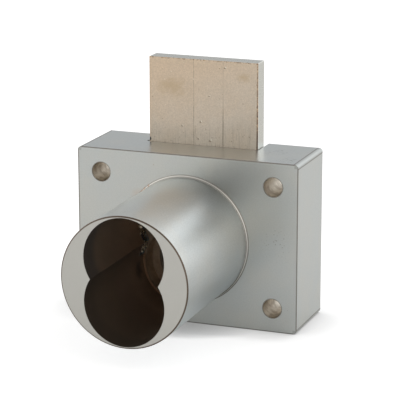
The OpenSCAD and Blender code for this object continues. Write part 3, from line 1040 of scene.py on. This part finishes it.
        # Painted shade: a black spot on the front's left edge just above the case, for the dark gap at
        # the bolt's foot.
        gap_shade = Spot((self.low.x, self.low.y, self.case_top + 0.62 * MM),
                    (0.42 * MM, 0.5 * MM, 0.50 * MM), 0.5)
        surface.cover(surface.spot(gap_shade, Edge.SHARP), (0.03, 0.025, 0.02), 0.6, sink=0.1 * MM)
        broken = surface.uneven(1300.0, 0.46, 0.58, roughness=0.8)
        front_strip = wires.past(y, self.low.y, 0.10, 0.04)
        top = wires.past(z, self.high.z, -0.30, -0.16)
        surface.cover((top, front_strip, broken, 0.8), specks, 0.5, sink=0.03 * MM)


def heading(azimuth: float, elevation: float) -> Vector:
    """Returns the direction at an angle round the lock and one above the horizon, in degrees."""
    turn, lift = math.radians(azimuth), math.radians(elevation)
    return Vector((math.sin(turn) * math.cos(lift), -math.cos(turn) * math.cos(lift), math.sin(lift)))


@dataclass(frozen=True)
class Glow:
    """A soft patch of light in the room round the lock, or of dusk where its strength is negative.

    Attributes:
        azimuth: its direction round the lock, in degrees, from the camera's side towards the right.
        elevation: its height above the horizon, in degrees.
        tightness: how quickly it fades away from its middle.
        strength: its radiance there.
    """

    azimuth: float
    elevation: float
    tightness: float
    strength: float


ROOM_GLOWS = (
    Glow(0, 8, 5, 0.41), Glow(45, 8, 5, 0.83), Glow(90, 8, 5, 0.81), Glow(135, 8, 5, 0.88),
    Glow(180, 8, 5, 0.54), Glow(225, 8, 5, 0.45), Glow(270, 8, 5, 0.76), Glow(315, 8, 5, 0.78),
    Glow(22, 48, 5, 0.35), Glow(112, 48, 5, 0.55), Glow(202, 48, 5, 0.27), Glow(292, 48, 5, 0.52),
    Glow(-90, 12, 16, 0.22), Glow(-30, 12, 16, 0.22), Glow(-5, 8, 16, -0.28), Glow(35, 8, 16, 0.29),
    Glow(158, 14, 20, 0.36), Glow(185, 12, 16, -0.24), Glow(210, 15, 16, -0.22),
    Glow(5, 35, 16, -0.50), Glow(65, 40, 16, 0.36), Glow(160, 42, 16, 0.66),
    Glow(-23, 14, 24, 0.55), Glow(12, 23, 26, -0.90),
)


@dataclass(frozen=True)
class Studio:
    """The floor, the light of the room and the camera at the photograph's angle.

    Attributes:
        azimuth: the camera's angle round the lock, in degrees.
        elevation: its angle above the horizon, in degrees.
        distance: its distance from the point that it looks at.
        aim_right: how far right of the origin that point lies, in the picture.
        aim_up: how far above the origin it lies, in the picture.
        lens: focal length for a sensor 36 wide, in millimetres.
        glows: the patches of light round the lock.
        dimmest: the room's radiance where they leave it darkest.
        paper: how much light the floor gives back.
        paper_seen: the same for what the camera sees directly.
        whiteness: how much whiter the floor is shown to the camera.
        mirrored: the share of that which polished metal mirrors.
        contact: how far the case darkens the floor that it stands on.
        contact_apart: the same in front of it, where only the barrel hangs above the floor.
        contact_change: Y where the one gives way to the other, from front to back.
        floor_half: half the floor's width.
        warmth: colour of the room's light in front of the lock.
        chill: its colour behind the lock.
    """

    azimuth: float = 20.75
    elevation: float = 14.93
    distance: float = 442.04 * MM
    aim_right: float = 4.893 * MM
    aim_up: float = 7.014 * MM
    lens: float = 172.12
    glows: tuple[Glow, ...] = ROOM_GLOWS
    dimmest: float = 0.05
    paper: float = 0.86
    paper_seen: float = 0.55
    whiteness: float = 0.66
    mirrored: float = 0.024
    contact: float = 11.0 * MM
    contact_apart: float = 4.0 * MM
    contact_change: tuple[float, float] = (-15 * MM, -3 * MM)
    floor_half: float = 4.0
    warmth: Colour = (1.0, 0.975, 0.915)
    chill: Colour = (0.985, 1.005, 1.01)

    def build(self, ground: float) -> None:
        """Builds the whole studio.

        Args:
            ground: Z of the surface that the lock stands on.
        """
        self._camera()
        self._floor(ground)
        self._room()
        bpy.context.scene.view_settings.view_transform = "Standard"

    def _camera(self) -> None:
        """Adds the camera."""
        back = heading(self.azimuth, self.elevation)
        turn = math.radians(self.azimuth)
        right = Vector((math.cos(turn), math.sin(turn), 0.0))
        up = back.cross(right)
        data = bpy.data.cameras.new("camera")
        data.sensor_width = 36.0
        data.lens = self.lens
        data.clip_start, data.clip_end = 0.01, 20.0
        camera = bpy.data.objects.new("camera", data)
        camera.location = back * self.distance + right * self.aim_right + up * self.aim_up
        camera.rotation_mode = "QUATERNION"
        camera.rotation_quaternion = (-back).to_track_quat("-Z", "Y")
        bpy.context.scene.collection.objects.link(camera)
        bpy.context.scene.camera = camera

    def _floor(self, ground: float) -> None:
        """Adds the pale floor, which shows white and keeps the lock's shadow.

        Args:
            ground: Z of the surface that the lock stands on.
        """
        mesh = bpy.data.meshes.new("floor")
        shape = bmesh.new()
        bmesh.ops.create_grid(shape, x_segments=2, y_segments=2, size=self.floor_half,
                              matrix=Matrix.Translation((0, 0, ground)))
        shape.to_mesh(mesh)
        shape.free()
        floor = bpy.data.objects.new("floor", mesh)
        bpy.context.scene.collection.objects.link(floor)
        material = bpy.data.materials.new("floor_paper")
        wires = Wiring.inside(material)
        rays = wires.add("LightPath")
        seen = rays.outputs["Is Camera Ray"]
        neutral = tuple(2 * self.paper_seen / (warm + cold)
                        for warm, cold in zip(self.warmth, self.chill))
        paper = wires.add("BsdfDiffuse", wires.blend(seen, (self.paper,) * 3, neutral))
        _, y, _ = wires.split(wires.add("TexCoord").outputs["Object"])
        reach = wires.step(y, *self.contact_change, self.contact_apart, self.contact)
        open_sky = wires.add("AmbientOcclusion", WHITE, reach, samples=16)
        shown = wires.maths("MAXIMUM", wires.times(seen, open_sky.outputs["AO"]),
                            wires.times(rays.outputs["Is Glossy Ray"], self.mirrored))
        glow = wires.add("Emission", WHITE, wires.times(shown, self.whiteness))
        both = wires.add("AddShader", paper.outputs[0], glow.outputs[0])
        wires.add("OutputMaterial", both.outputs[0])
        mesh.materials.append(material)

    def _room(self) -> None:
        """Surrounds the lock with the room's soft light, and shows the camera plain white."""
        world = bpy.data.worlds.new("studio")
        wires = Wiring.inside(world)
        direction = wires.add("TexCoord").outputs["Generated"]
        total: object = 0.0
        for glow in self.glows:
            facing = wires.add("VectorMath", direction, heading(glow.azimuth, glow.elevation),
                               operation="DOT_PRODUCT")
            away = wires.maths("SUBTRACT", facing.outputs["Value"], 1.0)
            fade = wires.maths("EXPONENT", wires.times(away, glow.tightness))
            total = wires.maths("ADD", total, wires.times(fade, glow.strength))
        behind = wires.step(wires.split(direction)[1], -0.5, 0.8)
        light = wires.add("Background", wires.blend(behind, self.warmth, self.chill),
                          wires.maths("MAXIMUM", total, self.dimmest))
        white = wires.add("Background", WHITE)
        choose = wires.add("MixShader", wires.add("LightPath").outputs["Is Camera Ray"],
                           light.outputs[0], white.outputs[0])
        wires.add("OutputWorld", choose.outputs[0])
        bpy.context.scene.world = world


@dataclass(frozen=True)
class Palette:
    """The finishes, made once and shared by the sub-assemblies."""

    case: bpy.types.Material
    barrel: bpy.types.Material
    bolt: bpy.types.Material
    steel: bpy.types.Material
    spring: bpy.types.Material
    brass: bpy.types.Material
    torn: bpy.types.Material


class Bench:
    """Where pieces are dressed and new ones are made: holds the model's nodes and the palette."""

    def __init__(self, nodes: dict[str, bpy.types.Object], palette: Palette) -> None:
        """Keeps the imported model's objects by name, and the finishes."""
        self.nodes = nodes
        self.palette = palette

    def wear(self, name: str, material: bpy.types.Material) -> None:
        """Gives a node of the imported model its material.

        Args:
            name: the node's name.
            material: the material.
        """
        node = self.nodes[name]
        node.data.materials.clear()
        node.data.materials.append(material)
        log.info("%s wears %s", name, material.name)

    def merged(self, name: str) -> bmesh.types.BMesh:
        """Copies a node's mesh, closed and with its flat faces whole again.

        Args:
            name: the node's name.

        Returns:
            The copy.
        """
        shape = bmesh.new()
        shape.from_mesh(self.nodes[name].data)
        bmesh.ops.remove_doubles(shape, verts=shape.verts, dist=0.002 * MM)
        bmesh.ops.dissolve_limit(shape, angle_limit=math.radians(1), verts=shape.verts,
                                 edges=shape.edges)
        return shape

    @staticmethod
    def soften(shape: bmesh.types.BMesh, width: float, sharpest: float = 40.0,
               segments: int = 2) -> None:
        """Rounds a shape's sharp edges.

        Args:
            shape: the mesh.
            width: how far the rounding reaches from each edge.
            sharpest: the least angle of an edge that is rounded, in degrees.
            segments: steps across the rounding.
        """
        edges = [edge for edge in shape.edges if edge.calc_face_angle(0.0) > math.radians(sharpest)]
        bmesh.ops.bevel(shape, geom=edges, offset=width, segments=segments, affect="EDGES",
                        profile=0.5, material=-1, clamp_overlap=True)

    def place(self, name: str, shape: bmesh.types.BMesh, material: bpy.types.Material, slot: Slot,
              body: Body, instead_of: Sequence[str] = (), smooth: bool = True) -> bpy.types.Object:
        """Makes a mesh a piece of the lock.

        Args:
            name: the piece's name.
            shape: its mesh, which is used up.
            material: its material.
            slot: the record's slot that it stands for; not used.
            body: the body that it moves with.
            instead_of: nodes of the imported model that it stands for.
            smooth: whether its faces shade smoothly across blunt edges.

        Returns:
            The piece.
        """
        bmesh.ops.recalc_face_normals(shape, faces=shape.faces)
        for face in shape.faces:
            face.smooth = smooth
        for edge in shape.edges:
            if len(edge.link_faces) == 2:
                broad = max(face.calc_area() for face in edge.link_faces) > 3 * MM ** 2
                edge.smooth = edge.calc_face_angle(0.0) < math.radians(3 if broad else 32)
        mesh = bpy.data.meshes.new(name)
        shape.to_mesh(mesh)
        shape.free()
        mesh.materials.append(material)
        piece = bpy.data.objects.new(name, mesh)
        bpy.context.scene.collection.objects.link(piece)
        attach(piece, body.value)
        if instead_of:
            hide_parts(*instead_of)
        log.info("%s made, %d faces", name, len(mesh.polygons))
        return piece


def scatter_crumbs(shape: bmesh.types.BMesh, start: Vector, end: Vector, count: int, size: float,
                   wander: Vector, dice: random.Random) -> None:
    """Strews lumps of torn metal along a line.

    Args:
        shape: the mesh that they are added to.
        start: the line's start.
        end: its end.
        count: how many lumps.
        size: the radius of the largest.
        wander: how far they may lie from the line.
        dice: the seeded chance.
    """
    along = (end - start).normalized()
    for _ in range(count):
        radius = size * dice.uniform(0.45, 1.0)
        middle = start.lerp(end, dice.random()) + Vector(
            dice.uniform(-1, 1) * step for step in wander)
        stretch = Matrix.Diagonal([1 + 1.6 * dice.random() * abs(step) for step in along]).to_4x4()
        turn = Matrix.Rotation(dice.uniform(-0.3, 0.3), 4, dice.choice("XYZ"))
        lump = bmesh.ops.create_icosphere(shape, subdivisions=1, radius=radius,
                                          matrix=Matrix.Translation(middle) @ turn @ stretch)
        for vert in lump["verts"]:
            away = vert.co - middle
            vert.co = middle + away * (0.8 + 0.35 * noise.noise(vert.co * 9000.0))


@dataclass
class MountingCase:
    """The milled case, screwed to the drawer front through its four corner holes."""

    def build(self, bench: Bench) -> None:
        """Dresses the case."""
        bench.wear("case", bench.palette.case)


@dataclass
class Barrel:
    """The core housing with what holds it in the case.

    Attributes:
        lug_front: Y where the lug recess starts.
        lug_half: half of its depth along the barrel.
        inset: how far its torn metal stands in from the wall.
        lobe_radius: radius of the socket's lobes.
        lobe_offset: distance of each lobe's axis from the barrel's.
        tears: lowest and highest Z, number and size of the lumps of each torn stretch.
    """

    lug_front: float = -5.7 * MM
    lug_half: float = 1.3 * MM
    inset: float = 0.15 * MM
    lobe_radius: float = 9.03 * MM
    lobe_offset: float = 4.86 * MM
    tears: tuple[tuple[float, float, int, float], ...] = (
        (1.8 * MM, 5.0 * MM, 34, 0.34 * MM), (0.2 * MM, 1.8 * MM, 10, 0.22 * MM),
        (-2.6 * MM, -0.2 * MM, 26, 0.32 * MM))

    def build(self, bench: Bench) -> None:
        """Dresses the housing and its fasteners, and adds the cutter's burrs in its recess.

        Args:
            bench: the bench.
        """
        look = bench.palette
        bench.wear("core_housing", look.barrel)
        bench.wear("housing_washer", look.steel)
        bench.wear("housing_dowel", look.steel)
        bench.wear("stop_pin", look.steel)
        bench.wear("housing_ring", look.spring)
        bench.place("lug_burrs", self._burrs(), look.torn, Slot.BARREL, Body.LOCK)

    def _burrs(self) -> bmesh.types.BMesh:
        """Returns the torn metal along the recess's front edge, above and below its middle."""
        shape = bmesh.new()
        dice = random.Random(11)
        middle = self.lug_front + self.lug_half
        wander = Vector((0.22, 1.35, 0.25)) * MM
        for z_low, z_high, count, size in self.tears:
            low, high = (Vector((self._wall(z) - self.inset, middle, z)) for z in (z_low, z_high))
            scatter_crumbs(shape, low, high, count, size, wander, dice)
        return shape

    def _wall(self, z: float) -> float:
        """Returns X of the socket's left wall at a height."""
        lobe = self.lobe_offset if z > 0 else -self.lobe_offset
        return -math.sqrt(self.lobe_radius ** 2 - (z - lobe) ** 2)


@dataclass
class DeadBolt:
    """The bolt, with the burrs that its stamping left along the edges of its front.

    Attributes:
        low: the bolt's lowest corner.
        high: its highest corner.
        case_top: Z of the case's top face, with the bolt thrown.
        below: how far below it the burrs start, so that they reach into the slot.
        size: radius of the largest burr.
        inset: how far the burrs stand in from the sides.
    """

    low: Vector
    high: Vector
    case_top: float
    below: float = 8.0 * MM
    size: float = 0.05 * MM
    inset: float = 0.07 * MM

    def build(self, bench: Bench) -> None:
        """Dresses the bolt and adds its burrs."""
        bench.wear("bolt", bench.palette.bolt)
        bench.place("bolt_burrs", self._burrs(), bench.palette.bolt, Slot.BOLT, Body.BOLT)

    def _burrs(self) -> bmesh.types.BMesh:
        """Returns the burrs along the front's left, top and right edges."""
        shape = bmesh.new()
        dice = random.Random(5)
        front, foot = self.low.y + 0.035 * MM, self.case_top - self.below
        left, right = self.low.x + self.inset, self.high.x - self.inset
        top = self.high.z - 0.16 * MM
        upright, level = Vector((0.03, 0.01, 0.0)) * MM, Vector((0.0, 0.01, 0.02)) * MM
        for start, end, count, size, wander in (
                (Vector((left, front, foot)), Vector((left, front, top)), 70, self.size, upright),
                (Vector((right, front, foot)), Vector((right, front, top)), 90, self.size, upright),
                (Vector((left, front, top)), Vector((right, front, top)), 40, 0.6 * self.size, level)):
            scatter_crumbs(shape, start, end, count, size, wander, dice)
        return shape


@dataclass
class ThrowWorks:
    """The throw that the core turns, and the crank on its end.

    Attributes:
        softness: how far the milled edges are broken.
    """

    softness: float = 0.12 * MM

    def build(self, bench: Bench) -> None:
        """Dresses the throw's pieces, with the edges of the milled ones broken.

        Args:
            bench: the bench.
        """
        look = bench.palette
        for name in ("throw_member", "throw_prongs", "crank_pin", "crank_sleeve"):
            bench.wear(name, look.steel)
        for name in ("throw_ring", "arm_washer"):
            bench.wear(name, look.spring)
        bench.wear("thrust_washer", look.brass)
        for node, name in (("throw_arm", "crank_arm"), ("arm_screw", "crank_screw")):
            shape = bench.merged(node)
            bench.soften(shape, self.softness)
            bench.place(name, shape, look.steel, Slot.STEEL, Body.THROW, (node,))


@dataclass
class BackCover:
    """The cover over the works, its four screws, and the friction spring riveted inside it.

    Attributes:
        cover_edge: how far the cover's punched edges are broken.
        screw_edge: the same for the screws' turned edges.
    """

    cover_edge: float = 0.2 * MM
    screw_edge: float = 0.12 * MM

    def build(self, bench: Bench) -> None:
        """Dresses the cover's pieces, with the punched and turned edges broken.

        Args:
            bench: the bench.
        """
        look = bench.palette
        for node, name, edge in (("back_cover", "cover_plate", self.cover_edge),
                                 ("cover_screws", "cover_screw_set", self.screw_edge)):
            shape = bench.merged(node)
            bench.soften(shape, edge)
            bench.place(name, shape, look.steel, Slot.STEEL, Body.LOCK, (node,))
        bench.wear("friction_spring", look.spring)
        bench.wear("spring_rivets", look.steel)


def make_palette(frame: dict) -> Palette:
    """Makes the finishes to the model's sizes.

    Args:
        frame: what the frame's loader returned.

    Returns:
        The finishes.
    """
    shelf = EffectShelf()
    low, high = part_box("case")
    bolt_low, bolt_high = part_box("bolt")
    mounts = {mount["name"]: mount for mount in frame["record"]["mounts"]}
    pattern = mounts["screw_holes"]["dims"]
    reach = (pattern["spacing_x_mm"] / 2 * MM, pattern["spacing_y_mm"] / 2 * MM)
    holes = tuple(Vector((sx * reach[0], 0, sz * reach[1])) for sx in (-1, 1) for sz in (-1, 1))
    chrome, warm = (0.550, 0.570, 0.568), (0.572, 0.578, 0.560)
    return Palette(
        case=CasePlating("case_chrome", chrome, warm, mottle=0.035, low=low, high=high, holes=holes,
                         hole_radius=pattern["hole_r_mm"] * MM).make(shelf),
        barrel=BarrelPlating("barrel_chrome", chrome, warm, 0.39, mottle=0.08,
                             mottle_size=0.27 * MM).make(shelf),
        bolt=BoltNickel("bolt_nickel", (0.62, 0.615, 0.58), (0.60, 0.595, 0.56), 0.28, mottle=0.015,
                        grain_depth=0.0015 * MM, low=bolt_low, high=bolt_high,
                        case_top=high.z).make(shelf),
        steel=Finish("zinc_plated_steel", (0.56, 0.57, 0.58), (0.50, 0.52, 0.55), 0.36).make(shelf),
        spring=Finish("blued_spring_steel", (0.20, 0.20, 0.22), (0.15, 0.15, 0.17), 0.4).make(shelf),
        brass=Finish("washer_brass", (0.70, 0.56, 0.30), (0.62, 0.47, 0.25), 0.35).make(shelf),
        torn=Finish("torn_metal", (0.86, 0.76, 0.60), (0.60, 0.58, 0.54), 0.30, mottle=0.85,
                    mottle_size=0.45 * MM).make(shelf))


def main() -> None:
    """Loads the frame, dresses its pieces, adds the modelled ones and builds the studio."""
    logging.basicConfig(level=logging.INFO)
    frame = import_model()
    low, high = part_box("case")
    bolt_low, bolt_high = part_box("bolt")
    bench = Bench(frame["nodes"], make_palette(frame))
    for part in (MountingCase(), Barrel(), DeadBolt(bolt_low, bolt_high, high.z), ThrowWorks(),
                 BackCover()):
        part.build(bench)
        log.info("%s built", type(part).__name__)
    Studio().build(low.z)


if __name__ == "__main__":
    main()
